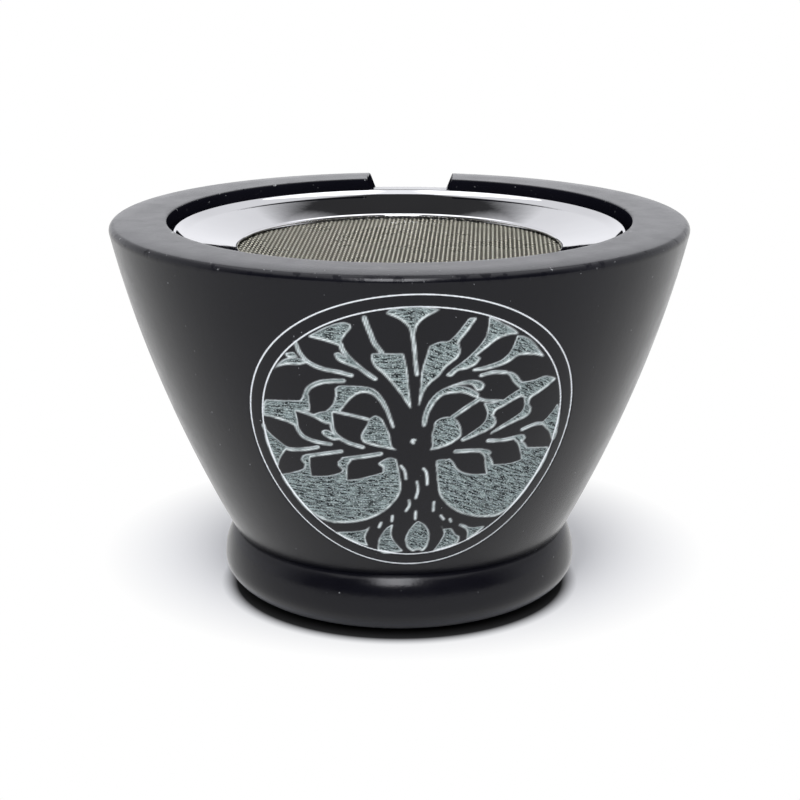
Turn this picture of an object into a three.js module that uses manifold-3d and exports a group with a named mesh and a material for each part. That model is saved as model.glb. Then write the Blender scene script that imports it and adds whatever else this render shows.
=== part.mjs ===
// Soapstone incense burner: a turned stone bowl on a ring foot, a steel sieve that rests in a stepped
// seat in the rim, and a tea light that stands on the floor of the bowl and warms the sieve.
// Millimetres, +Z up. The origin is the middle of the flat underside, and the finger notch faces +Y.

import * as THREE from "three";
import { mergeGeometries, mergeVertices } from "three/addons/utils/BufferGeometryUtils.js";
import Module from "manifold-3d";

const wasm = await Module();
wasm.setup();

// Gap kept between pieces that sit in or on each other
const CLEARANCE = 0.3;

// Sieve: a dished sheet steel flange, wire mesh, and the ring that holds the mesh up to the flange
const SIEVE_DIAMETER = 89.6;
const FLANGE_WIDTH = 13.2; // from the outer edge in to the clear mesh
const FLANGE_DROP = 2.85; // from the crest of the rolled rim down to the inner edge
const SHEET = 0.6;
const BEND_RADIUS = 0.9; // outside of both rolled edges
const ROLL_SLOPE = 38; // degrees, where the rolled rim comes down steepest to the dished face
const CREASE_RADIUS = 1.2; // in the corner between the rolled rim and the dished face
const SKIRT_HEIGHT = 0.6; // straight edge below the rolled rim, which stands on the ledge
const MESH_OVERLAP = 1.4; // mesh that runs on under the flange
const MESH_THICKNESS = 0.5;
const MESH_PITCH = 3.5;
const MESH_WIRE = 0.6;

// Stone bowl
const BOWL_HEIGHT = 75;
const RIM_WIDTH = 11.2; // flat top, from the sieve's seat out to the edge
const RIM_ROUND = 1.2;
const MOUTH_ROUND = 0.5; // inner corner of the rim, above the seat
const SEAT_DEPTH = 4;
const LEDGE_WIDTH = 3.6;
const FLOOR_THICKNESS = 13;
const FLOOR_ROUND = 5; // corner between the floor and the chamber's wall
const TEALIGHT_ROOM = 2; // flat floor left all round the tea light
const WAIST_WALL = 6.6; // stone outside the rounded floor corner, at the groove above the foot
const SIDE_BULGE = 2.5; // how far the side swells out of a straight cone
const FOOT_HEIGHT = 12;
const FOOT_RING_REACH = 2.7; // how far the foot ring stands out from the waist
const FOOT_RING_WIDEST = 6.4; // height of the foot ring's widest line
const FOOT_TUCK = 9.9; // how far the ring rolls in under itself to the flat underside

// Finger notch through the back of the rim
const NOTCH_WIDTH = 16; // at its floor
const NOTCH_DEPTH = 3.55;
const NOTCH_FLARE = 20; // degrees that each cheek leans out

// Tea light
const TEALIGHT_DIAMETER = 38; // over the rolled lip of the cup
const TEALIGHT_HEIGHT = 15;
const CUP_WALL = 0.4;
const CUP_LIP = 0.7;
const CUP_DRAFT = 0.5; // how much narrower the cup is at its base
const CUP_BASE_ROUND = 1.2;
const WAX_DEPTH = 12;
const WICK_DIAMETER = 1.6;
const WICK_RISE = 6; // wick above the wax
const WICK_LEAN = 1.4; // how far its free tip bends over
const TAB_DIAMETER = 15;
const TAB_SHEET = 0.4;
const TAB_NECK_HEIGHT = 4;

// Facets round a turned piece
const WIDE_SEGMENTS = 64;
const CUP_SEGMENTS = 40;
const TAB_SEGMENTS = 20;
const WICK_SIDES = 8;
const WICK_STEPS = 12;

const sieveRadius = SIEVE_DIAMETER / 2;
const openingRadius = sieveRadius - FLANGE_WIDTH;
const meshRadius = openingRadius + MESH_OVERLAP;
const seatRadius = sieveRadius + CLEARANCE;
const rimRadius = seatRadius + RIM_WIDTH;
const ledgeHeight = BOWL_HEIGHT - SEAT_DEPTH;
const wickRadius = WICK_DIAMETER / 2;
const wickBore = wickRadius + CLEARANCE;
const waxTop = CUP_WALL + CLEARANCE + WAX_DEPTH;

const soapstone = new THREE.MeshStandardMaterial({ color: 0x1e1e20, roughness: 0.42, metalness: 0 });
const steel = new THREE.MeshStandardMaterial({ color: 0xd4d6d8, roughness: 0.12, metalness: 1 });
const wireSteel = new THREE.MeshStandardMaterial({ color: 0xa8a698, roughness: 0.3, metalness: 1 });
const aluminium = new THREE.MeshStandardMaterial({ color: 0xc9cbcd, roughness: 0.3, metalness: 1 });
const wax = new THREE.MeshStandardMaterial({ color: 0xf1ede2, roughness: 0.5, metalness: 0 });
const cotton = new THREE.MeshStandardMaterial({ color: 0xe6dfcf, roughness: 0.9, metalness: 0 });

const at = (radius, height) => new THREE.Vector2(radius, height);

// Points along part of an ellipse in a profile, from one angle in radians to another.
function arc(centre, width, height, from, to, steps, clockwise = false) {
  const curve = new THREE.EllipseCurve(centre.x, centre.y, width, height, from, to, clockwise);
  return curve.getPoints(steps);
}

// Angle, seen from a circle's centre, at which a straight line from a point touches the circle.
function touchAngle(centre, radius, point, side) {
  const reach = point.clone().sub(centre);
  return reach.angle() + side * Math.acos(radius / reach.length());
}

// Turns a profile of radii and heights about +Z: outer side upwards, inner side downwards.
function turned(profile, segments) {
  return new THREE.LatheGeometry(profile, segments).rotateX(Math.PI / 2);
}

// Turns a profile that stays clear of the axis, so that it closes on itself.
function turnedRing(profile, segments) {
  return turned([...profile, profile[0].clone()], segments);
}

function toSolid(geometry) {
  const bare = new THREE.BufferGeometry();
  bare.setAttribute("position", geometry.getAttribute("position"));
  bare.setIndex(geometry.index);
  const merged = mergeVertices(bare);
  const vertProperties = merged.getAttribute("position").array;
  const triVerts = Uint32Array.from(merged.index.array);
  return new wasm.Manifold(new wasm.Mesh({ numProp: 3, vertProperties, triVerts }));
}

function toGeometry(solid) {
  const { vertProperties, triVerts } = solid.getMesh();
  const geometry = new THREE.BufferGeometry();
  geometry.setAttribute("position", new THREE.BufferAttribute(vertProperties, 3));
  geometry.setIndex(new THREE.BufferAttribute(triVerts, 1));
  geometry.computeVertexNormals();
  return geometry;
}

function piece(name, geometry, material) {
  const mesh = new THREE.Mesh(geometry, material);
  mesh.name = name;
  return mesh;
}

// Half the bowl's section, from the middle of the underside round the outside to the middle of the floor.
function bowlProfile() {
  const floorFlat = TEALIGHT_DIAMETER / 2 + TEALIGHT_ROOM;
  const waistRadius = floorFlat + FLOOR_ROUND + WAIST_WALL;
  const ringRadius = waistRadius + FOOT_RING_REACH;
  const underRadius = ringRadius - FOOT_TUCK;
  const ringCrown = FOOT_HEIGHT - FOOT_RING_WIDEST;

  const underRing = at(underRadius, FOOT_RING_WIDEST);
  const overRing = at(waistRadius, FOOT_RING_WIDEST);
  const footRing = [
    ...arc(underRing, FOOT_TUCK, FOOT_RING_WIDEST, -Math.PI / 2, 0, 6),
    ...arc(overRing, FOOT_RING_REACH, ringCrown, 0, Math.PI / 2, 5).slice(1),
  ];

  const rimCentre = at(rimRadius - RIM_ROUND, BOWL_HEIGHT - RIM_ROUND);
  const swell = at((waistRadius + rimRadius) / 2 + 2 * SIDE_BULGE, (FOOT_HEIGHT + BOWL_HEIGHT) / 2);
  const rimStart = touchAngle(rimCentre, RIM_ROUND, swell, 1);
  const rim = arc(rimCentre, RIM_ROUND, RIM_ROUND, rimStart, Math.PI / 2, 4);
  const side = new THREE.QuadraticBezierCurve(at(waistRadius, FOOT_HEIGHT), swell, rim[0]);

  const mouthCentre = at(seatRadius + MOUTH_ROUND, BOWL_HEIGHT - MOUTH_ROUND);
  const mouth = arc(mouthCentre, MOUTH_ROUND, MOUTH_ROUND, Math.PI / 2, Math.PI, 2);

  const ledgeEdge = at(seatRadius - LEDGE_WIDTH, ledgeHeight);
  const cornerCentre = at(floorFlat, FLOOR_THICKNESS + FLOOR_ROUND);
  const cornerStart = touchAngle(cornerCentre, FLOOR_ROUND, ledgeEdge, -1);
  const corner = arc(cornerCentre, FLOOR_ROUND, FLOOR_ROUND, cornerStart, -Math.PI / 2, 4, true);

  return [
    at(0, 0),
    ...footRing,
    ...side.getPoints(8).slice(1, -1),
    ...rim,
    ...mouth,
    at(seatRadius, ledgeHeight),
    ledgeEdge,
    ...corner,
    at(0, FLOOR_THICKNESS),
  ];
}

// Flared trough that runs from the middle of the bowl out through the back of the rim.
function notchCutter() {
  const rise = NOTCH_DEPTH + CLEARANCE;
  const floorHalf = NOTCH_WIDTH / 2;
  const topHalf = floorHalf + rise * Math.tan(THREE.MathUtils.degToRad(NOTCH_FLARE));
  const outline = new THREE.Shape([
    at(-floorHalf, 0),
    at(floorHalf, 0),
    at(topHalf, rise),
    at(-topHalf, rise),
  ]);
  const length = rimRadius + CLEARANCE;
  const trough = new THREE.ExtrudeGeometry(outline, { depth: length, bevelEnabled: false });
  return trough.rotateX(Math.PI / 2).translate(0, length, BOWL_HEIGHT - NOTCH_DEPTH);
}

function stoneBowl() {
  const block = toSolid(turned(bowlProfile(), WIDE_SEGMENTS));
  return piece("stone_bowl", toGeometry(block.subtract(toSolid(notchCutter()))), soapstone);
}

// The sheet rolls over a crest, drops into a crease, runs straight down the dished face and over the lip.
const crestCentre = at(sieveRadius - BEND_RADIUS, SKIRT_HEIGHT);
const lipCentre = at(openingRadius + BEND_RADIUS, SKIRT_HEIGHT - FLANGE_DROP);
const crestTurn = THREE.MathUtils.degToRad(90 + ROLL_SLOPE);
const creaseReach = BEND_RADIUS + CREASE_RADIUS;
const creaseCentre = at(creaseReach, 0).rotateAround(at(0, 0), crestTurn).add(crestCentre);
const faceTurn = touchAngle(lipCentre, creaseReach, creaseCentre, 1);

// Height of the dished face's underside at a radius between the crease and the lip.
function faceUnderside(radius) {
  const across = radius - lipCentre.x;
  return lipCentre.y + (BEND_RADIUS - SHEET - across * Math.cos(faceTurn)) / Math.sin(faceTurn);
}

const meshTop = lipCentre.y - CLEARANCE;
const meshBottom = meshTop - MESH_THICKNESS;

// Stamped flange: a skirt and rolled rim outside, a dished face, and a lip turned down on to the mesh.
function sieveFlange() {
  const inside = BEND_RADIUS - SHEET;
  const creaseUnder = CREASE_RADIUS + SHEET;
  const creaseStart = crestTurn + Math.PI;
  const creaseEnd = faceTurn + Math.PI;
  const profile = [
    at(sieveRadius, 0),
    ...arc(crestCentre, BEND_RADIUS, BEND_RADIUS, 0, crestTurn, 6),
    ...arc(creaseCentre, CREASE_RADIUS, CREASE_RADIUS, creaseStart, creaseEnd, 2, true).slice(1),
    ...arc(lipCentre, BEND_RADIUS, BEND_RADIUS, faceTurn, Math.PI, 3),
    ...arc(lipCentre, inside, inside, Math.PI, faceTurn, 2, true),
    ...arc(creaseCentre, creaseUnder, creaseUnder, creaseEnd, creaseStart, 2),
    ...arc(crestCentre, inside, inside, crestTurn, 0, 2, true).slice(1),
    at(sieveRadius - SHEET, 0),
  ];
  return piece("sieve_flange", turnedRing(profile, WIDE_SEGMENTS), steel);
}

// Round plate about +Z, half above and half below its middle.
function disc(radius, thickness) {
  return new THREE.CylinderGeometry(radius, radius, thickness, WIDE_SEGMENTS).rotateX(Math.PI / 2);
}

// Flat net: a disc with a square gap in every cell between the wires, inside a plain border.
function sieveMesh() {
  const gap = MESH_PITCH - MESH_WIRE;
  const cells = Math.ceil(openingRadius / MESH_PITCH);
  const gaps = [];
  for (let column = -cells; column < cells; column++) {
    for (let row = -cells; row < cells; row++) {
      const x = (column + 0.5) * MESH_PITCH;
      const y = (row + 0.5) * MESH_PITCH;
      const nearestCorner = Math.hypot(Math.abs(x) - gap / 2, Math.abs(y) - gap / 2);
      if (nearestCorner < openingRadius - MESH_WIRE) {
        gaps.push(new THREE.BoxGeometry(gap, gap, 2 * MESH_THICKNESS).translate(x, y, 0));
      }
    }
  }
  const clearMesh = toSolid(disc(openingRadius, 2 * MESH_THICKNESS));
  const openings = toSolid(mergeGeometries(gaps)).intersect(clearMesh);
  const net = toSolid(disc(meshRadius, MESH_THICKNESS)).subtract(openings);
  const mesh = piece("sieve_mesh", toGeometry(net), wireSteel);
  mesh.position.z = (meshTop + meshBottom) / 2;
  return mesh;
}

// Angle ring: one leg under the edge of the mesh, the other round it and up to the flange.
function meshRing() {
  const uprightInner = meshRadius + CLEARANCE;
  const outer = uprightInner + SHEET;
  const top = faceUnderside(uprightInner) - CLEARANCE;
  const shelf = meshBottom - CLEARANCE;
  const profile = [
    at(openingRadius, shelf - SHEET),
    at(outer, shelf - SHEET),
    at(outer, top),
    at(uprightInner, top),
    at(uprightInner, shelf),
    at(openingRadius, shelf),
  ];
  return piece("mesh_ring", turnedRing(profile, WIDE_SEGMENTS), steel);
}

// The sieve's own zero is the foot of its skirt.
function sieve() {
  const group = new THREE.Group();
  group.add(sieveFlange(), sieveMesh(), meshRing());
  group.position.z = ledgeHeight + CLEARANCE;
  return group;
}

const cupTopRadius = TEALIGHT_DIAMETER / 2 - CUP_LIP;

// Outer radius of the cup's drafted wall at a height above its base.
const cupRadius = (height) => cupTopRadius - CUP_DRAFT * (1 - height / TEALIGHT_HEIGHT);

function tealightCup() {
  const baseCentre = at(cupRadius(CUP_BASE_ROUND) - CUP_BASE_ROUND, CUP_BASE_ROUND);
  const lipBottom = TEALIGHT_HEIGHT - CUP_WALL;
  const insideRound = CUP_BASE_ROUND - CUP_WALL;
  const profile = [
    at(0, 0),
    ...arc(baseCentre, CUP_BASE_ROUND, CUP_BASE_ROUND, -Math.PI / 2, 0, 3),
    at(cupRadius(lipBottom), lipBottom),
    at(TEALIGHT_DIAMETER / 2, lipBottom),
    at(TEALIGHT_DIAMETER / 2, TEALIGHT_HEIGHT),
    at(cupTopRadius - CUP_WALL, TEALIGHT_HEIGHT),
    ...arc(baseCentre, insideRound, insideRound, 0, -Math.PI / 2, 3, true),
    at(0, CUP_WALL),
  ];
  return piece("tealight_cup", turned(profile, CUP_SEGMENTS), aluminium);
}

// Wax poured round the wick, with room under it for the tab.
function tealightWax() {
  const bottom = CUP_WALL + CLEARANCE;
  const inset = CUP_WALL + CLEARANCE;
  const tabRoom = TAB_DIAMETER / 2 + CLEARANCE;
  const tabRoof = bottom + TAB_SHEET + CLEARANCE;
  const neckRoom = wickBore + TAB_SHEET + CLEARANCE;
  const neckRoof = bottom + TAB_NECK_HEIGHT + CLEARANCE;
  const chamfer = CUP_BASE_ROUND;
  const profile = [
    at(tabRoom, bottom),
    at(cupRadius(bottom) - inset - chamfer, bottom),
    at(cupRadius(bottom + chamfer) - inset, bottom + chamfer),
    at(cupRadius(waxTop) - inset, waxTop),
    at(wickBore, waxTop),
    at(wickBore, neckRoof),
    at(neckRoom, neckRoof),
    at(neckRoom, tabRoof),
    at(tabRoom, tabRoof),
  ];
  return piece("tealight_wax", turnedRing(profile, CUP_SEGMENTS), wax);
}

// Round tin tab that keeps the wick upright: a disc with a short neck.
function wickTab() {
  const bottom = CUP_WALL + CLEARANCE;
  const neck = wickBore + TAB_SHEET;
  const profile = [
    at(wickBore, bottom),
    at(TAB_DIAMETER / 2, bottom),
    at(TAB_DIAMETER / 2, bottom + TAB_SHEET),
    at(neck, bottom + TAB_SHEET),
    at(neck, bottom + TAB_NECK_HEIGHT),
    at(wickBore, bottom + TAB_NECK_HEIGHT),
  ];
  return piece("wick_tab", turnedRing(profile, TAB_SEGMENTS), aluminium);
}

function tealightWick() {
  const bottom = CUP_WALL + CLEARANCE;
  const tip = waxTop + WICK_RISE;
  const path = new THREE.CurvePath();
  const upright = new THREE.Vector3(0, 0, waxTop);
  path.add(new THREE.LineCurve3(new THREE.Vector3(0, 0, bottom), upright));
  path.add(
    new THREE.QuadraticBezierCurve3(
      upright,
      new THREE.Vector3(0, 0, waxTop + WICK_RISE / 2),
      new THREE.Vector3(WICK_LEAN, 0, tip),
    ),
  );
  const section = new THREE.Shape().absarc(0, 0, wickRadius, 0, 2 * Math.PI);
  const cord = new THREE.ExtrudeGeometry(section, {
    steps: WICK_STEPS,
    curveSegments: WICK_SIDES / 2, // an arc takes two points for each of these
    extrudePath: path,
  });
  return piece("tealight_wick", cord, cotton);
}

// The tea light's own zero is the underside of its cup.
function tealight() {
  const group = new THREE.Group();
  group.add(tealightCup(), tealightWax(), wickTab(), tealightWick());
  group.position.z = FLOOR_THICKNESS + CLEARANCE;
  return group;
}

const burner = new THREE.Group();
burner.name = "soapstone_incense_burner";
burner.add(stoneBowl(), sieve(), tealight());

export default burner;
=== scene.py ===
"""Soapstone incense burner: a carved black stone bowl, a polished steel sieve with woven wire, a tea light.

Sizes are in millimetres up to the point where a mesh is made. Meshes, materials and studio are in metres.
The finger notch faces +Y and the carved medallion faces -Y. Turning angles run from -Y towards +X.
"""

import math

import bpy
import numpy as np
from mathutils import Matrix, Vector


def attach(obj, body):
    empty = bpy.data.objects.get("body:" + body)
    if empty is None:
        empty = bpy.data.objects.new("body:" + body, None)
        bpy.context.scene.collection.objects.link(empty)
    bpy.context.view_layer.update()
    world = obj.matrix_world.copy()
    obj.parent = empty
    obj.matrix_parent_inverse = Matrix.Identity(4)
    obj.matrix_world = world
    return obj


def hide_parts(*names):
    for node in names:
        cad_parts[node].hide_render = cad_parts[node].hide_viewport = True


MM = 0.001
QUARTER_TURN = math.pi / 2
HALF_TURN = math.pi
FULL_TURN = 2 * math.pi
SHARP_ANGLE = math.radians(50)
GAP = 0.3  # between seated pieces
FLAT_MIDDLE = 6.0  # radius of the plain middle of the bowl's floor and the cup's floor

# Stone bowl
BOWL_HEIGHT = 75.0
RIM_RADIUS = 56.3
RIM_ROUND = 1.2
CROWN_RADIUS = 51.0  # outside it the worn rim falls away
CROWN_FALL = 0.013  # times the square of the distance outside
MOUTH_ROUND = 0.55
SEAT_RADIUS = 45.1
LEDGE_HEIGHT = 71.0
LEDGE_RADIUS = 41.5
FLOOR_HEIGHT = 13.0
FLOOR_FLAT = 21.0
FLOOR_ROUND = 5.0
WAIST_RADIUS = 32.6
FOOT_RADIUS = 35.3
FOOT_WIDEST = 6.4
FOOT_RISE = 6.4  # of the foot ring's round above its widest place
GROOVE_TURN = math.radians(79)  # where the side meets that round
UNDERSIDE_RADIUS = 25.4
UNDERSIDE_RINGS = (8.0, 17.0)  # rows of points on the flat underside
SIDE_SWELL = (49.45, 43.5)  # control point of the curved side
SIDE_SAMPLES = 2000
SIDE_ROWS = 300
EDGE_WEAR = 1.1  # how far chips reach from the rim's two edges
RIM_WEAR_AND_REFLECTION = 0.08  # how much paler the rim's top is, partly from wear and partly as painted reflection, with 1 on the notch's floor

# Finger notch
NOTCH_FLOOR = 71.45
NOTCH_HALF = 8.0
NOTCH_FLARE = math.radians(20)
NOTCH_ROOM = 0.05  # height in which a point still counts as on the floor

# Columns of points round the bowl: close over the medallion and at the notch's cheeks
FRONT_REACH = math.radians(41.6)
FRONT_STEP = math.radians(0.27)
CHEEK_START = math.radians(7.9)  # from the middle of the notch
CHEEK_END = math.radians(12.3)
CHEEK_STEP = math.radians(0.16)
NOTCH_COLUMNS = 14
RIGHT_COLUMNS = 58
LEFT_COLUMNS = 62

# Sieve
SIEVE_RADIUS = 44.8
SKIRT_FOOT = 71.3
CREST = (43.9, 71.98)  # centre of the rolled rim's bend
CREST_BEND = 0.9
ROLL_TURN = math.radians(128)  # where the rolled rim comes down steepest
CREASE = 5.0  # bend between the rolled rim and the sloping face
LIP = (32.15, 69.2)  # centre of the inner edge's bend
LIP_BEND = 0.55
LIP_FOOT = 69.1
SHEET = 0.5
CLOTH_HEIGHT = 68.35
CLOTH_RADIUS = 32.8
WIRE_PITCH = 0.872
WARP_RADIUS = 0.22  # thick wires that run from front to back
WARP_WAVE = 0.04
WEFT_RADIUS = 0.09  # thin wires that are woven across them
WEFT_WAVE = 0.26
WIRE_SIDES = 6
RING_INNER = 31.6
RING_UPRIGHT = 33.3
RING_OUTER = 33.9
RING_FOOT = 67.35
RING_SHELF = 67.95
RING_TOP = 69.24
RING_SOFT = 0.12  # chamfer of its edges
RING_BEND = 0.48  # wider chamfer where its upright is bent up

# Tea light
CUP_FOOT = 13.3
CUP_TOP = 28.3
CUP_LIP_RADIUS = 19.0
CUP_TOP_RADIUS = 18.3
CUP_FOOT_RADIUS = 17.8
CUP_ROUND = 1.2
CUP_WALL = 0.4
CUP_FLUTES = 48
FLUTE_COLUMNS = 6
FLUTE_DEPTH = 0.12
WAX_FOOT = 14.0
WAX_TOP = 26.0
WAX_RADIUS = 17.3
WAX_SINK = 0.5  # of its top round the wick
WAX_CREEP = 6  # power with which the top is drawn up towards the edge
WAX_MIDDLE = 0.12  # part of the radius at which the top's curve ends
WAX_FOOT_INSET = 1.4
WAX_CORNER = (0.4, 1.2)  # inset and height of the lower corner
WICK_RADIUS = 0.8
WICK_BORE = 1.1
WICK_RISE = 6.0
WICK_LEAN = 1.4
WICK_TIP = 0.7  # part of the radius that is left at the free end
WICK_STRANDS = 3
STRAND_GROOVE = 0.16  # part of the radius
STRAND_TWIST = 1.1  # radians for each millimetre
TAB_RADIUS = 7.5
TAB_SHEET = 0.4
TAB_NECK = 18.0
TAB_SOFT = 0.1  # chamfer of its edges
TAB_BEND = 0.3  # wider chamfer at the foot of its neck

# Medallion, carved on the unrolled side: across to the right and up the slope, from its middle
MEDALLION_ANGLE = math.radians(5.41)
MEDALLION_SLOPE = 34.36  # from the groove above the foot, up the side
MEDALLION_HALF = 31.6
MEDALLION_EDGE = 34.0  # clear of everything that is carved
DRAWING_SCALE = (1.0111, 1.0059)  # drawn size over cut size
DRAWING_SQUEEZE = 0.00098  # how much more the drawing is drawn together towards the rim
CONE_SLOPE = 128.5  # from the tip of the cone that the side nearly is
RING_CENTRE = (0.4, -0.2)
RING_RADII = (30.17, 27.69)
RING_STRETCH = 1.027  # wider than high
RING_LINE = 0.15
RING_FADE = (0.08, 0.19)  # the scratch of a circle ends between them
CARVING_STEP = 0.1
CUT_BLUR = 0.13  # rounding of the cut edges
BED_BLUR = 0.4  # slope from the cut edges to the bed of a patch
BED_START = 0.6  # where on that slope the bed begins
BED_FULL = 0.95
CUT_DEPTH = 0.2
BED_DEPTH = 0.14  # below the cuts
HATCH_DEPTH = 0.07
HATCH_RATE = 11.0  # radians for each millimetre up
HATCH_SLANT = math.radians(28)  # of the hatching right of the trunk
BARK_WIDTH = 0.35
CORNER_TURN = math.radians(52)
CURVE_STEPS = 6

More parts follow.
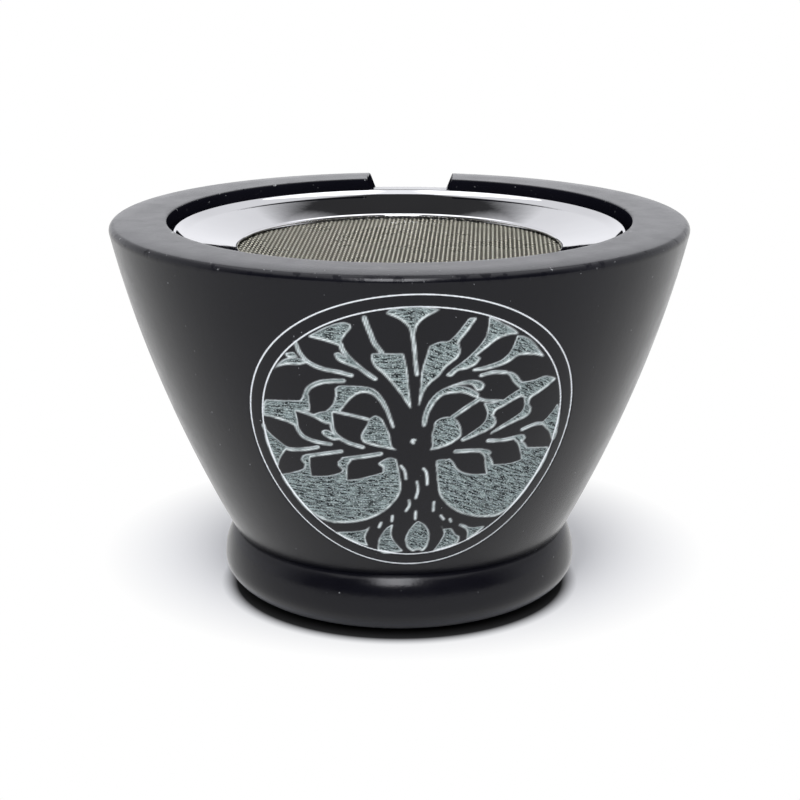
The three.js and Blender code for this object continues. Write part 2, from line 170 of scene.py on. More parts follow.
PATCHES = {
    "crown": [
        (-4.9, 26.2), (-4, 27), (0, 27.5), (4.3, 26.9), (1.6, 25.2), (0.4, 23.7), (0, 22),
        (-0.5, 22), (-1.1, 23.6), (-2.5, 25.1),
    ],
    "left_wedge": [
        (-7.3, 17.9), (-5, 17.95), (-1.9, 17.95), (-1.3, 15.3), (-0.9, 11.5), (-0.35, 6.3), (-1.5, 8.4),
        (-2.8, 10.5), (-4.8, 13.3), (-6.8, 15.4), (-7.3, 16.8),
    ],
    "right_wedge": [
        (2.7, 19.5), (4.4, 20.2), (6.3, 20.5), (9.6, 24.9), (10.8, 24.8), (9.1, 22), (7.8, 20),
        (8.1, 18.2), (7.6, 16.9), (5.6, 15), (4.3, 13.05), (2.8, 11.6), (1.9, 10), (1.05, 6.8),
        (1.3, 10.7), (1.55, 14.6), (2.2, 17.2),
    ],
    "left_crown": [
        (-18.6, 20.9), (-15, 23.2), (-12.4, 24.1), (-11.2, 23.8), (-11.05, 23.2), (-12.1, 21.6),
        (-12.7, 20.4), (-12.9, 19.3), (-15.1, 20.1),
    ],
    "left_crown_fin": [
        (-13.9, 17.7), (-13.2, 17.9), (-11.2, 16.4), (-9.6, 14.7), (-11.6, 15.5), (-13.4, 16.5),
    ],
    "left_shoulder_leaf": [(-23.1, 16.9), (-21.5, 17.3), (-20.7, 16.4), (-22.5, 16.1)],
    "left_shoulder": [
        (-25.4, 13.3), (-24, 15), (-22.8, 15.8), (-20.6, 16.1), (-19, 15.4), (-20.4, 14.85), (-23, 14.6),
        (-24.8, 13.8),
    ],
    "left_band": [
        (-28.1, 2.7), (-27.9, 5.3), (-27.4, 6.2), (-20.4, 6.95), (-19.6, 8.4), (-18.75, 8.3), (-18.65, 4.9),
        (-22, 5), (-21.5, 3), (-21.4, 1.3), (-22.8, 1.85), (-25.6, 2.5),
    ],
    "left_arch": [
        (-13.7, 10.4), (-12.9, 10.9), (-7.9, 10.8), (-6.3, 9.8), (-4.9, 7.6), (-3.9, 4.8), (-3.2, 2.2),
        (-3.5, 2.1), (-4.2, 4.3), (-5.1, 6.6), (-6.6, 8.9), (-8.1, 9.7), (-9.8, 9.4), (-11.3, 8),
        (-12.5, 6.2), (-13.4, 5.1), (-14.7, 5.1), (-15.5, 5.2), (-14.3, 6.7), (-13.8, 8.4),
    ],
    "left_fork": [(-17.8, 4.3), (-16.2, 5), (-14.8, 5.2), (-14.7, 2.5), (-15.6, 2.6), (-17.2, 3.6)],
    "left_fork_fin": [(-16.4, 0.6), (-15.6, 1), (-14.7, 0.6), (-13.2, -0.9), (-14.4, -1), (-15.8, -0.3)],
    "left_heart": [
        (-7.8, 3.4), (-7.3, 4.3), (-6.6, 4.75), (-5.6, 4.1), (-5, 2.9), (-4.1, 0.6), (-3.6, -2.1),
        (-2.7, -2.85), (-8.2, -1.4), (-9, -0.5), (-8.9, 0.8), (-8.2, 2.3),
    ],
    "left_rim": [
        (-28.1, -1), (-26.6, -2), (-24.9, -3.1), (-23.4, -4.1), (-24.4, -5.6), (-25.3, -7.6), (-25.6, -9.1),
        (-26.8, -6.2), (-27.7, -3.4),
    ],
    "left_ground": [
        (-25, -10.8), (-22.5, -9.8), (-20.1, -8.5), (-19.8, -7.4), (-20.6, -6.4), (-20.1, -5.35),
        (-18.7, -5.1), (-18.9, -6.6), (-18.6, -10.1), (-15.4, -9.6), (-13, -8.6), (-12.4, -7.8),
        (-13.3, -6.9), (-13.4, -6), (-12.3, -5.1), (-10.9, -5.5), (-11.6, -6.7), (-11.75, -10.3),
        (-9.7, -9.8), (-7.15, -8.9), (-5.1, -8.1), (-5, -6.8), (-6, -6), (-4.6, -4.9), (-3.7, -4.65),
        (-2.8, -4.95), (-2.5, -6.4), (-2, -9.3), (-1.85, -11.8), (-2.3, -13.6), (-3.4, -15.5), (-5, -17.4),
        (-7.5, -19.1), (-9.8, -20.05), (-13.1, -20.65), (-15.5, -20.6), (-17.7, -19.65), (-20.1, -17.9),
        (-22.5, -14.8), (-24, -12.5),
    ],
    "right_ground": [
        (4.5, -5.3), (6.7, -5.35), (7.5, -5.8), (8.3, -7.5), (9.6, -8.9), (11, -9.35), (14.3, -9.7),
        (13.85, -7.5), (13.6, -5.3), (12.7, -4.1), (14.1, -4.8), (14.8, -5.8), (15.4, -7.5), (19, -7.75),
        (21.4, -7.3), (21, -5.6), (20.4, -3.6), (19.3, -2), (20.9, -2.9), (21.8, -3.7), (22.4, -4.9),
        (27, -5.7), (27.6, -6.4), (26.4, -9.5), (24.6, -12.4), (22.1, -16.2), (19.4, -18.95), (17.2, -20.05),
        (14.9, -20), (11.7, -19.2), (9, -17.8), (6.95, -15.9), (5.5, -13.5), (5, -10.8), (4.7, -8),
    ],
    "right_ground_tip": [
        (12.9, -3.55), (14.1, -3.85), (14.9, -4.5), (14.7, -4.95), (13.9, -4.8), (12.8, -4.1),
    ],
    "right_ground_far_tip": [
        (19.4, -1.5), (20, -1.3), (21.4, -1.5), (21.75, -2.3), (21.2, -2.95), (20.2, -2.6), (19.4, -1.9),
    ],
    "right_arch": [
        (1.95, 2.25), (1.8, 3.7), (2.2, 5.9), (3, 7.9), (4, 9.3), (5.4, 10.4), (7.4, 10.7), (9.2, 10.6),
        (10.8, 9.7), (11.85, 8.8), (11.7, 8.1), (11, 8.4), (9.5, 9.2), (7.4, 9.5), (5.6, 9.2), (4.5, 8.4),
        (3.5, 6.8), (2.8, 5.1), (2.35, 2.7),
    ],
    "right_arch_leaf": [
        (5.6, 10.6), (7.9, 11.45), (10, 11.95), (12, 11.55), (12.8, 10.65), (12.3, 9.6), (11.5, 9.7),
        (10.6, 10.9), (9.2, 11.2), (7.2, 10.95),
    ],
    "right_crown": [
        (13.1, 25), (14.6, 24.1), (17.4, 22.2), (18.9, 20.9), (16.9, 20.9), (14.9, 20.3), (13, 18.8),
        (10.9, 17), (11.8, 16.5), (11, 15.3), (9.4, 14.5), (7.8, 14.2), (6.7, 13), (5.8, 13.3), (7, 14.6),
        (9.2, 16.4), (11.5, 18.9), (12.7, 20.9), (13.1, 22.8),
    ],
    "right_shoulder": [
        (18.6, 20.6), (20.3, 20), (21.5, 19.2), (22.8, 17.4), (24.3, 15.4), (22.8, 16.1), (19.7, 16.5),
        (18.8, 16.3), (16.9, 15.1), (14.4, 14.3), (10.9, 13.9), (10.4, 14.2), (13.3, 14.85), (15.6, 15.6),
        (17.05, 16.8), (17.95, 18.4), (18.5, 20),
    ],
    "right_leaf": [
        (16.4, 13.2), (17.6, 12.95), (18.85, 12.15), (19.6, 11), (20.1, 10.4), (20, 9.1), (19.3, 9.8),
        (18.3, 11), (17.4, 12.5),
    ],
    "right_band": [
        (20.1, 10.4), (22.8, 10.6), (24.9, 11.1), (27.3, 10.2), (25.4, 8.7), (23.2, 7.4), (22.1, 6.7),
        (21.9, 5.3), (22.4, 4.2), (21.8, 2.9), (19.5, 2), (17.3, 1.1), (14.4, -0.35), (14.7, 0.15),
        (17, 1.7), (19.4, 3.1), (20.6, 4.1), (21, 5.4), (20.8, 7.1), (20, 7.4), (16.5, 5.6), (15.3, 5),
        (14.7, 3.8), (15.3, 2.9), (15.1, 1.5), (13.3, 0.4), (9.3, -1.3), (8.9, -0.9), (11.7, 1.1),
        (13.1, 2.4), (13.7, 4.2), (13.5, 5.4), (12.9, 6.8), (14.3, 6.6), (16.2, 6.8), (18, 8), (20, 9.1),
    ],
    "right_heart": [
        (4.1, 3.2), (5, 3.95), (6.4, 4.2), (7.6, 3.8), (8.5, 2.3), (8.9, 0.5), (8.7, -0.3), (7.2, -1.6),
        (5.15, -2.5), (3.3, -2.95), (3.7, -2.1), (3.6, 0.5), (3.9, 2),
    ],
    "right_rim": [
        (28.3, 4.3), (27.4, 2.8), (26, 1.3), (25.1, 0.5), (26, -0.5), (27.05, -1.7), (28.2, -4.2),
        (28.7, -3.6), (29, -1.2), (29.05, 1.5), (28.8, 3.2),
    ],
    "root_far_left": [
        (-13.8, -23.2), (-10.8, -22.7), (-8.2, -22), (-7.35, -21), (-8.2, -23.5), (-8.1, -24.9), (-7.7, -26),
        (-10.1, -25.3), (-12.3, -24.1),
    ],
    "root_left": [
        (-3.1, -20.4), (-4.35, -21.6), (-5.5, -24), (-5.8, -27), (-4.6, -27.6), (-2.5, -27.5),
        (-1.15, -27.1), (-2.1, -25.7), (-3.1, -24), (-3.4, -22.4),
    ],
    "root_middle": [
        (1.6, -19.7), (2.85, -20.7), (3.65, -22.6), (3.75, -24.2), (3.35, -26.1), (2.6, -27.2), (1.7, -26.8),
        (0.8, -27.2), (-0.3, -26), (-0.6, -23.9), (-0.05, -22), (0.9, -20.4),
    ],
    "root_right": [
        (5.9, -21), (6.4, -21.9), (7.9, -22), (8.9, -23.7), (9.5, -24.1), (9.5, -25.2), (9, -26.05),
        (6.9, -26.85), (4.65, -27.35), (5.5, -25.9), (6.3, -24.2), (6.6, -22.8),
    ],
    "root_far_right": [
        (11, -22), (12.3, -22.35), (14.6, -22.35), (13.05, -24), (11.5, -24.9), (11.45, -23.3),
    ],
}

# Single cuts: width, then the line
STROKES = {
    "crown_stem": (0.5, [(-0.4, 22.6), (0, 19.5), (0.25, 16.5), (0.6, 13.6)]),
    "left_wedge_stem": (0.65, [(-8.7, 25.3), (-7.8, 22.6), (-6.8, 20), (-5.6, 18.2)]),
    "left_crown_stem": (0.65, [(-12.8, 19.6), (-12.4, 18.4), (-10.6, 16.1), (-8.6, 14.2), (-6.7, 12.7)]),
    "left_shoulder_stem": (0.6, [
        (-21.1, 19.4), (-20.2, 17.2), (-18.7, 15.5), (-16.3, 14.4), (-13, 13.8), (-10.9, 13.25),
    ]),
    "left_band_stem": (0.75, [(-19.5, 8.2), (-18.6, 10.1), (-16.5, 11.4), (-14.2, 11.85), (-12.4, 12)]),
    "left_band_fork": (0.5, [(-21.9, 5), (-19.7, 4.6), (-17.4, 3.7), (-15.5, 2.7)]),
    "left_band_tail": (0.6, [
        (-21.9, 5), (-21.4, 2.6), (-21.2, 1), (-20.1, -0.8), (-18.4, -1.6), (-16.5, -1.95), (-14.7, -2.1),
    ]),
    "left_fork_tail": (0.6, [
        (-14.7, 5), (-14.6, 3.2), (-14.4, 1.6), (-13.7, 0.1), (-12.2, -1.1), (-10.3, -1.9), (-8.8, -2.35),
    ]),
    "left_heart_stem": (0.45, [(-13.4, 5.15), (-10.5, 4.6), (-7.9, 3.9)]),
    "left_rim_stem": (0.6, [
        (-28.2, 0.4), (-27.8, -0.8), (-26.6, -2), (-25.1, -3.1), (-23.6, -4.1), (-22.3, -4.25),
        (-19.5, -3.75), (-17.2, -3.05),
    ]),
    "left_ground_stem": (0.6, [(-19.5, -5.4), (-15.9, -4.35), (-12.7, -3.55)]),
    "left_ground_near_stem": (0.7, [(-12.4, -5.3), (-8.4, -4.4), (-5.6, -3.7)]),
    "right_ground_stem": (0.65, [(8, -3.55), (10.5, -3.6), (12.9, -3.8)]),
    "right_ground_far_stem": (0.6, [(14.1, -1.7), (16.9, -1.95), (19.5, -1.75)]),
    "right_ground_step": (0.45, [(6.8, -5.4), (8.2, -7.7), (9.5, -8.8), (11, -9.35), (13.8, -9.7)]),
    "right_ground_edge": (0.45, [(22.4, -4.9), (27, -5.7)]),
    "right_leaf_stem": (0.55, [(12.1, 12.85), (14.4, 13.3), (16.7, 13.05)]),
    "right_heart_stem": (0.7, [(7.2, 4.2), (9.6, 6.1), (11.95, 7.75)]),
    "right_band_fork": (0.5, [(11.95, 7.75), (13.4, 7.3), (16.2, 6.85)]),
    "right_rim_stem": (0.55, [(25.1, 0.5), (23.4, 0.6), (20.8, -0.15)]),
    "root_far_right_stem": (0.5, [(9.65, -21.25), (10.8, -22), (11.45, -23.2), (11.4, -25)]),
    "knot": (0.35, [(0.6, -0.6), (0.15, -0.55), (-0.05, -0.95), (0.3, -1.3)]),
}

# Short cuts in the bark of the trunk
BARK = [
    [(-1.85, -6.4), (-1.15, -7.7), (-0.9, -9.5)],
    [(2.2, -7.1), (2.7, -7.9), (2.95, -9.5), (3, -10.95)],
    [(1.1, -10.1), (1.35, -12), (1, -14.05)],
    [(-0.25, -14.5), (-0.15, -15.8), (-0.75, -17.15)],
    [(4.4, -15.1), (4.3, -17.25)],
    [(1.05, -17.2), (1.05, -19.1)],
    [(-3.2, -18.25), (-3.3, -19.6)],
    [(-5.25, -20), (-5.65, -21.2)],
    [(5.75, -18.5), (6.35, -19.5)],
    [(7.56, -19.5), (7.8, -20.2)],
]

# Colours and shine
STONE_IOR = 1.335
STONE_DARK = (0.003, 0.003, 0.005, 1)
STONE_CLOUD = (0.006, 0.006, 0.009, 1)
STONE_CHIP = (0.45, 0.46, 0.46, 1)
# pale grey of the rim's top and the notch's floor: partly worn stone, partly a painted reflection of the
# white backdrop
STONE_WORN_AND_REFLECTION = (0.45, 0.45, 0.455, 1)
HATCH_STRETCH = (0.5, 2.6, 1)  # scale along and across the hatching
GRAIN_STRETCH = (2.6, 4.2, 1)
HATCH_DARK = (0.004, 0.008, 0.009, 1)
HATCH_LIGHT = (0.3, 0.365, 0.35, 1)
HATCH_GRAIN = (0.64, 0.72, 0.69, 1)
CUT_SLOPE = (0.16, 0.205, 0.195, 1)
CUT_EDGE = (0.82, 0.88, 0.85, 1)
RING_SCRATCH = (0.92, 0.95, 0.94, 1)
STEEL = (0.86, 0.86, 0.87, 1)
WIRE = (0.178, 0.172, 0.142, 1)
ALUMINIUM = (0.8, 0.81, 0.82, 1)
WAX_DULL = (0.82, 0.79, 0.71, 1)
WAX_CLEAR = (0.9, 0.87, 0.8, 1)
COTTON_DARK = (0.58, 0.54, 0.46, 1)
COTTON_LIGHT = (0.84, 0.8, 0.72, 1)
# grey floor tone; it shows only within the painted soft shadow round the bowl and darkens it
PAPER_IN_PAINTED_SHADE = (0.6, 0.61, 0.64, 1)
CONTACT_SHADOW = (0.03, 0.03, 0.03, 1)
DARK_ROOM = (0.03, 0.03, 0.032, 1)
STUDIO_WHITE = (0.955, 0.96, 1.0)
WHITE = (1, 1, 1, 1)

# Camera, in millimetres
CAMERA_TURN = math.radians(2.7)
CAMERA_DISTANCE = 376.2
CAMERA_HEIGHT = 142.8
CAMERA_PITCH = math.radians(15.625)
CAMERA_LENS = 87.66
CAMERA_SENSOR = 36.0
CAMERA_SHIFT = 0.00075

# Studio, in metres
FLOOR_REACH = 6.0
CONTACT_RADII = (0.0332, 0.0364)  # the contact shadow ends between them
SHADE_CENTRE = (0, 0.02, 0)
SHADE_RADII = (0.0385, 0.064)  # the soft shadow ends between them
SHADE_WHITE = 0.2  # how white the floor is within the soft shadow
FLOOR_MIRRORED = 0.98  # how white the floor is in reflections
LAMP_AIM = (0, 0, 0.05)
LAMPS = {  # place, size and power
    "top_lamp": ((0.0, -0.05, 0.8), (1.1, 1.1), 4.0),
    "key_lamp": ((0.0, -0.6, 0.65), (0.3, 0.62), 6.6),
}

# Sky round the studio, as parts of the way along an axis of the view direction
PAPER_END = (0.463, 0.545)  # the white paper behind the bowl ends between these heights
HAZE_START = 0.18  # height above which the paper gets darker
HAZE_LEVEL = 0.8
SLOT = (0.045, 0.085)  # the dark slot between the two panels above the paper ends between them
ROOM_FRONT = -0.5  # from here forwards the room is dark

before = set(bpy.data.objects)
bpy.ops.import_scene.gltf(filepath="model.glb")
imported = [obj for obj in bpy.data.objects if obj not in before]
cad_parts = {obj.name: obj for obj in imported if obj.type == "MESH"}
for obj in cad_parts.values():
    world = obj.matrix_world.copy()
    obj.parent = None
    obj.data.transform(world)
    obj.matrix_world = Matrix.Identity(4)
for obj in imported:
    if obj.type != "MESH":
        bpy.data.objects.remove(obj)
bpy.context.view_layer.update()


# Meshes


def add_object(data):
    """Puts a mesh, a lamp or a camera in the scene under its own name."""
    thing = bpy.data.objects.new(data.name, data)
    bpy.context.scene.collection.objects.link(thing)
    return thing


def make_piece(mesh, material, body, node):
    """Puts a finished mesh in the scene in place of a node of the frame."""
    mesh.materials.append(material)
    mesh.shade_smooth()
    mesh.set_sharp_from_angle(angle=SHARP_ANGLE)
    piece = add_object(mesh)
    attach(piece, body)
    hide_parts(node)


def make_mesh(name, points, faces):
    """A mesh from points in millimetres."""
    mesh = bpy.data.meshes.new(name)
    mesh.from_pydata((np.reshape(points, (-1, 3)) * MM).tolist(), [], faces)
    return mesh


def grid_faces(rows, columns, closed=False):
    """Four-sided faces of a tube of points that are numbered row by row. A closed one is a whole ring."""
    row, column = np.meshgrid(np.arange(rows if closed else rows - 1), np.arange(columns), indexing="ij")
    next_row = (row + 1) % rows
    next_column = (column + 1) % columns
    corners = [(row, column), (row, next_column), (next_row, next_column), (next_row, column)]
    return np.stack([r * columns + c for r, c in corners], axis=-1).reshape(-1, 4)


def turned_mesh(name, radii, heights, angles, closed=False):
    """Turns a profile about Z. Radii and heights hold one row for each profile point and one column for
    each angle. An open profile is closed at each end by a flat fan."""
    points = np.stack([radii * np.sin(angles), -radii * np.cos(angles), heights], axis=-1)
    rows, columns = radii.shape
    faces = grid_faces(rows, columns, closed).tolist()
    points = points.reshape(-1, 3)
    if not closed:
        first_ring = list(range(columns))
        last_ring = list(range((rows - 1) * columns, rows * columns))
        for ring in (first_ring[::-1], last_ring):
            middle = len(points)
            points = np.vstack([points, points[ring].mean(axis=0)])
            faces += [[ring[i - 1], ring[i], middle] for i in range(columns)]
    return make_mesh(name, points, faces)


def repeated(profile, columns):
    """Radii and heights of a profile of (radius, height) points, the same in every column."""
    profile = np.array(profile, float)
    return np.repeat(profile[:, :1], columns, axis=1), np.repeat(profile[:, 1:], columns, axis=1)


def once_round(count):
    """Evenly spaced angles of a whole turn."""
    return np.linspace(0, FULL_TURN, count, endpoint=False)


def turned_profile(name, profile, segments):
    """Turns a plain closed profile with evenly spaced columns."""
    return turned_mesh(name, *repeated(profile, segments), once_round(segments), closed=True)


def oval(centre, width, height, start, end, steps):
    """Points of part of an oval in a profile, angles in radians."""
    turn = np.linspace(start, end, steps)
    return np.stack([centre[0] + width * np.cos(turn), centre[1] + height * np.sin(turn)], axis=-1)


def arc(centre, radius, start, end, steps):
    return oval(centre, radius, radius, start, end, steps)


def line(start, end, steps):
    """Points of a straight stretch of a profile, without its first one."""
    return np.linspace(start, end, steps + 1)[1:]


def directions(points):
    """Unit steps along a profile."""
    step = np.gradient(points, axis=0)
    return step / np.linalg.norm(step, axis=1)[:, None]


# Carving


def smooth_path(points, closed):
    """Runs a curve through given points. A sharp turn stays a corner."""
    points = np.array(points, float)
    count = len(points)
    before = np.roll(points, 1, axis=0)
    after = np.roll(points, -1, axis=0)
    if not closed:
        before[0] = points[0]
        after[-1] = points[-1]
    entering = points - before
    leaving = after - points
    turn = np.arctan2(
        entering[:, 0] * leaving[:, 1] - entering[:, 1] * leaving[:, 0], (entering * leaving).sum(axis=1)
    )
    middle = (after - before) / 2
    is_corner = (np.abs(turn) > CORNER_TURN)[:, None]
    leave_slope = np.where(is_corner, leaving, middle)
    enter_slope = np.where(is_corner, entering, middle)
    t = np.linspace(0, 1, CURVE_STEPS, endpoint=False)[:, None]
    path = []
    for i in range(count if closed else count - 1):
        j = (i + 1) % count
        span = np.linalg.norm(points[j] - points[i])
        start_slope = leave_slope[i] * span / np.linalg.norm(leave_slope[i])
        end_slope = enter_slope[j] * span / np.linalg.norm(enter_slope[j])
        path.append(
            (2 * t**3 - 3 * t**2 + 1) * points[i]
            + (t**3 - 2 * t**2 + t) * start_slope
            + (3 * t**2 - 2 * t**3) * points[j]
            + (t**3 - t**2) * end_slope
        )
    if not closed:
        path.append(points[-1:])
    return np.vstack(path)


def carving_window(axis, path, margin):
    """The stretch of the carving grid that a path reaches, and how far across and up its points are."""
    low = np.searchsorted(axis, path.min(axis=0) - margin)
    high = np.searchsorted(axis, path.max(axis=0) + margin)
    rows = slice(low[1], high[1])
    columns = slice(low[0], high[0])
    return (rows, columns), *np.meshgrid(axis[columns], axis[rows])


def fill_patch(field, axis, path):
    """Marks what lies inside a closed path."""
    window, across, up = carving_window(axis, path, CARVING_STEP)
    inside = np.zeros(across.shape, bool)
    for (x0, y0), (x1, y1) in zip(path, np.roll(path, -1, axis=0)):
        if y0 == y1:
            continue
        crosses = (y0 > up) != (y1 > up)
        inside ^= crosses & (across < x0 + (up - y0) * (x1 - x0) / (y1 - y0))
    field[window] = np.maximum(field[window], inside)


def fill_stroke(field, axis, path, width):
    """Marks what lies within half a width of an open path."""
    window, across, up = carving_window(axis, path, width)
    nearest = np.full(across.shape, np.inf)
    for start, end in zip(path[:-1], path[1:]):
        run = end - start
        x = across - start[0]
        y = up - start[1]
        along = np.clip((x * run[0] + y * run[1]) / (run @ run), 0, 1)
        nearest = np.minimum(nearest, np.hypot(x - along * run[0], y - along * run[1]))
    soft = np.clip((width / 2 - nearest) / CARVING_STEP + 0.5, 0, 1)
    field[window] = np.maximum(field[window], soft)


def blurred(field, blur):
    """Softens a field on the carving grid."""
    steps = math.ceil(3 * blur / CARVING_STEP)
    reach = np.arange(-steps, steps + 1) * CARVING_STEP
    weights = np.exp(-0.5 * (reach / blur) ** 2)
    weights /= weights.sum()
    for turn in range(2):
        field = np.apply_along_axis(np.convolve, turn, field, weights, "same")
    return field


def carving_fields():
    """All that is cut, and the beds of the patches, each as a field of 0 to 1 on the carving grid."""
    axis = np.arange(-MEDALLION_HALF, MEDALLION_HALF, CARVING_STEP)
    patches = np.zeros((len(axis), len(axis)))
    strokes = np.zeros_like(patches)
    for points in PATCHES.values():
        fill_patch(patches, axis, smooth_path(points, True))
    bark = [(BARK_WIDTH, points) for points in BARK]
    for width, points in [*STROKES.values(), *bark]:
        fill_stroke(strokes, axis, smooth_path(points, False), width)
    opened = blurred(np.maximum(patches, strokes), CUT_BLUR)
    beds = np.clip((blurred(patches, BED_BLUR) - BED_START) / (BED_FULL - BED_START), 0, 1)
    return axis, opened, beds


def sampled(field, axis, across, up):
    """Reads a field between its grid points. It is 0 outside the grid."""
    last = len(axis) - 1.001
    x = np.clip((across - axis[0]) / CARVING_STEP, 0, last)
    y = np.clip((up - axis[0]) / CARVING_STEP, 0, last)
    column = x.astype(int)
    row = y.astype(int)
    x -= column
    y -= row
    low = field[row, column] * (1 - x) + field[row, column + 1] * x
    high = field[row + 1, column] * (1 - x) + field[row + 1, column + 1] * x
    near = (np.abs(across) < MEDALLION_HALF) & (np.abs(up) < MEDALLION_HALF)
    return np.where(near, low * (1 - y) + high * y, 0)


def ring_reach(across, up):
    """How far it is from the middle of the two circles round the tree, which lie on the unrolled cone."""
    slope = CONE_SLOPE + up
    x = slope * np.sin(across / slope) - RING_CENTRE[0]
    y = slope * np.cos(across / slope) - CONE_SLOPE - RING_CENTRE[1]
    return np.hypot(x / RING_STRETCH, y)


def hatching(across, up):
    """Wavering tool marks on the beds of the patches, from -1 to 1."""
    waver = 1.4 * np.sin(2.1 * across) + 0.9 * np.sin(0.7 * across + 3 * up)
    return np.sin(HATCH_RATE * up + waver)


def medallion_place(side, slope, angles):
    """Where each point of the side lies on the drawing of the medallion: across and up from its middle."""
    turn = (angles - MEDALLION_ANGLE + HALF_TURN) % FULL_TURN - HALF_TURN
    across = turn[None, :] * side[:, :1] * DRAWING_SCALE[0]
    up = slope - MEDALLION_SLOPE
    up = DRAWING_SCALE[1] * up + DRAWING_SQUEEZE * up**2
    return across, np.repeat(up[:, None], len(angles), axis=1)


# Stone bowl


def crowned(radius):
    """Height of the rim's worn top."""
    return BOWL_HEIGHT - CROWN_FALL * np.maximum(0, radius - CROWN_RADIUS) ** 2


def foot_round():
    """Points up the upper half of the foot ring, from its widest place to the groove."""
    centre = (WAIST_RADIUS, FOOT_WIDEST)
    return oval(centre, FOOT_RADIUS - WAIST_RADIUS, FOOT_RISE, 0, GROOVE_TURN, steps=14)


def bowl_foot():
    """Points from the flat underside round the foot ring to just below the groove."""
    underside = [(radius, 0) for radius in UNDERSIDE_RINGS]
    centre = (UNDERSIDE_RADIUS, FOOT_WIDEST)
    lower = oval(centre, FOOT_RADIUS - UNDERSIDE_RADIUS, FOOT_WIDEST, -QUARTER_TURN, 0, steps=12)
    return np.vstack([underside, lower, foot_round()[1:-1]])


def bowl_side():
    """Points up the curved side, evenly spaced, their distance up the slope, and points round the rim."""
    lean = math.atan(2 * CROWN_FALL * (RIM_RADIUS - RIM_ROUND - CROWN_RADIUS))
    rim_edge = RIM_RADIUS - RIM_ROUND + RIM_ROUND * math.sin(lean)
    rim_centre = np.array([RIM_RADIUS - RIM_ROUND, crowned(rim_edge) - RIM_ROUND * math.cos(lean)])
    swell = np.array(SIDE_SWELL)
    reach = swell - rim_centre
    touch = math.atan2(reach[1], reach[0]) + math.acos(RIM_ROUND / np.linalg.norm(reach))
    rim = arc(rim_centre, RIM_ROUND, touch, QUARTER_TURN - lean, steps=9)
    start = foot_round()[-1]
    t = np.linspace(0, 1, SIDE_SAMPLES)[:, None]
    curve = (1 - t) ** 2 * start + 2 * t * (1 - t) * swell + t**2 * rim[0]
    slope = np.concatenate([[0], np.cumsum(np.linalg.norm(np.diff(curve, axis=0), axis=1))])
    even = np.linspace(0, slope[-1], SIDE_ROWS)
    side = np.stack([np.interp(even, slope, curve[:, 0]), np.interp(even, slope, curve[:, 1])], axis=-1)
    return side, even, rim


def bowl_crown(start):
    """Points in over the worn top of the rim, as far as the mouth's round."""
    crown = line(start, (SEAT_RADIUS + MOUTH_ROUND, BOWL_HEIGHT), steps=12)
    crown[:, 1] = crowned(crown[:, 0])
    return crown


def bowl_inside():
    """Points round the mouth, down the seat, in over its ledge and down the wall to the floor."""
    mouth_centre = (SEAT_RADIUS + MOUTH_ROUND, BOWL_HEIGHT - MOUTH_ROUND)
    seat_foot = (SEAT_RADIUS, LEDGE_HEIGHT)
    ledge = (LEDGE_RADIUS, LEDGE_HEIGHT)
    corner_centre = np.array([FLOOR_FLAT, FLOOR_HEIGHT + FLOOR_ROUND])
    reach = ledge - corner_centre
    touch = math.atan2(reach[1], reach[0]) - math.acos(FLOOR_ROUND / np.linalg.norm(reach))
    corner = arc(corner_centre, FLOOR_ROUND, touch, -QUARTER_TURN, steps=7)
    return np.vstack((
        arc(mouth_centre, MOUTH_ROUND, QUARTER_TURN, HALF_TURN, steps=5)[1:],
        line((SEAT_RADIUS, mouth_centre[1]), seat_foot, steps=5),
        line(seat_foot, ledge, steps=3),
        line(ledge, corner[0], steps=14),
        corner[1:],
        line((FLOOR_FLAT, FLOOR_HEIGHT), (FLAT_MIDDLE, FLOOR_HEIGHT), steps=4),
    ))


def bowl_angles():
    """Where the columns of points stand round the bowl."""
    front = np.arange(MEDALLION_ANGLE - FRONT_REACH, MEDALLION_ANGLE + FRONT_REACH, FRONT_STEP)
    cheek = np.arange(CHEEK_START, CHEEK_END, CHEEK_STEP)
    notch_floor = np.linspace(-cheek[0], cheek[0], NOTCH_COLUMNS)[1:-1]
    right_side = np.linspace(front[-1], HALF_TURN - cheek[-1], RIGHT_COLUMNS)[1:-1]
    left_side = np.linspace(HALF_TURN + cheek[-1], FULL_TURN + front[0], LEFT_COLUMNS)[1:-1]
    back = HALF_TURN + np.concatenate([-cheek[::-1], notch_floor, cheek])
    return np.concatenate([front, right_side, back, left_side])


def cut_notch(radii, heights, angles, side):
    """Lowers the rim at the back to the notch, whose floor ends at the side. Also gives the points that
    were lowered and those that are on the floor."""
    sideways = np.abs(radii * np.sin(angles))
    floor = NOTCH_FLOOR + np.maximum(0, sideways - NOTCH_HALF) / math.tan(NOTCH_FLARE)
    lowered = (heights > floor) & (np.cos(angles) < 0)
    side_radius = np.interp(floor, side[:, 1], side[:, 0])
    radii = np.where(lowered, np.minimum(radii, side_radius), radii)
    heights = np.where(lowered, floor, heights)
    return radii, heights, lowered, floor < NOTCH_FLOOR + NOTCH_ROOM


